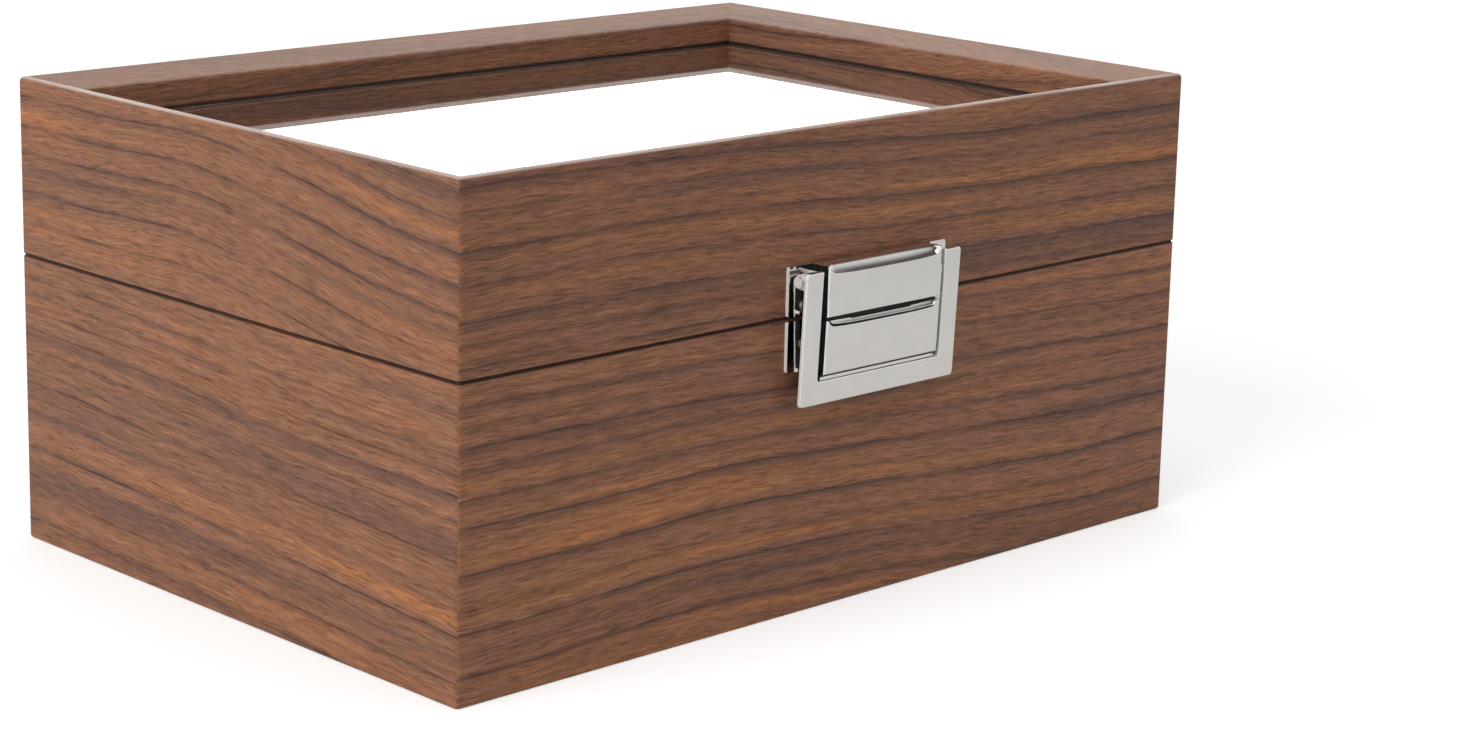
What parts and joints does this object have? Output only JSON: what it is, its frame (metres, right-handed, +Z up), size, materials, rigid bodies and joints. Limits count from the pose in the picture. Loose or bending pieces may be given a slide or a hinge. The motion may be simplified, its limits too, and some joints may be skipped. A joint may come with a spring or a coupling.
{
  "type": "watch box",
  "caption": "Rectangular wood-grain watch box with a hinged glass-topped lid, a metal flap clasp over the seam and velvet compartments with removable watch pillows.",
  "frame": {"origin": "centre of the flat underside of the box", "axes": "+X to the right seen from the clasp side, the clasp side faces -Y, the hinges are at +Y, +Z up"},
  "size_m": [0.17, 0.1278, 0.082],
  "materials": {
    "wrapped_board": "satin wood-grain wrap",
    "panel_board": "bare fibreboard",
    "underside_felt": "felt",
    "lining_velvet": "velvet",
    "pillow_velvet": "velvet",
    "window_glass": "polished",
    "clasp_chrome": "polished",
    "hinge_steel": "nickel plated",
    "fastener_steel": "plated"
  },
  "bodies": {
    "base": {"base_front_board": "wrapped_board", "base_back_board": "wrapped_board", "base_left_board": "wrapped_board", "base_right_board": "wrapped_board", "base_bottom_panel": "panel_board", "base_underside_felt": "underside_felt", "liner_front": "lining_velvet", "liner_back": "lining_velvet", "liner_left": "lining_velvet", "liner_right": "lining_velvet", "floor_pad": "lining_velvet", "divider_left": "lining_velvet", "divider_right": "lining_velvet", "clasp_base_plate": "clasp_chrome", "clasp_base_nails": "fastener_steel", "hinge_base_leaf_left": "hinge_steel", "hinge_base_leaf_right": "hinge_steel", "hinge_pin_left": "hinge_steel", "hinge_pin_right": "hinge_steel", "hinge_base_screws": "fastener_steel"},
    "lid": {"lid_front_board": "wrapped_board", "lid_back_board": "wrapped_board", "lid_left_board": "wrapped_board", "lid_right_board": "wrapped_board", "glass_pane": "window_glass", "glass_retainer_front": "lining_velvet", "glass_retainer_back": "lining_velvet", "glass_retainer_left": "lining_velvet", "glass_retainer_right": "lining_velvet", "clasp_lid_plate": "clasp_chrome", "clasp_lid_block": "clasp_chrome", "clasp_pin": "clasp_chrome", "clasp_lid_nails": "fastener_steel", "hinge_lid_leaf_left": "hinge_steel", "hinge_lid_leaf_right": "hinge_steel", "hinge_lid_screws": "fastener_steel"},
    "flap": {"clasp_flap": "clasp_chrome"},
    "pillow_left": {"pillow_left": "pillow_velvet"},
    "pillow_middle": {"pillow_middle": "pillow_velvet"},
    "pillow_right": {"pillow_right": "pillow_velvet"}
  },
  "joints": [
    {"name": "lid_open", "type": "hinge", "parent": "base", "child": "lid", "pos_m": [0, 0.061, 0.051], "axis": [-1, 0, 0], "range_deg": [0, 95]},
    {"name": "clasp_swing", "type": "hinge", "parent": "lid", "child": "flap", "pos_m": [0.0024, -0.0615, 0.0574], "axis": [-1, 0, 0], "range_deg": [0, 90]},
    {"name": "pillow_left_lift", "type": "slide", "parent": "base", "child": "pillow_left", "axis": [0, 0, 1], "range_m": [0, 0.025]},
    {"name": "pillow_middle_lift", "type": "slide", "parent": "base", "child": "pillow_middle", "axis": [0, 0, 1], "range_m": [0, 0.025]},
    {"name": "pillow_right_lift", "type": "slide", "parent": "base", "child": "pillow_right", "axis": [0, 0, 1], "range_m": [0, 0.025]}
  ]
}
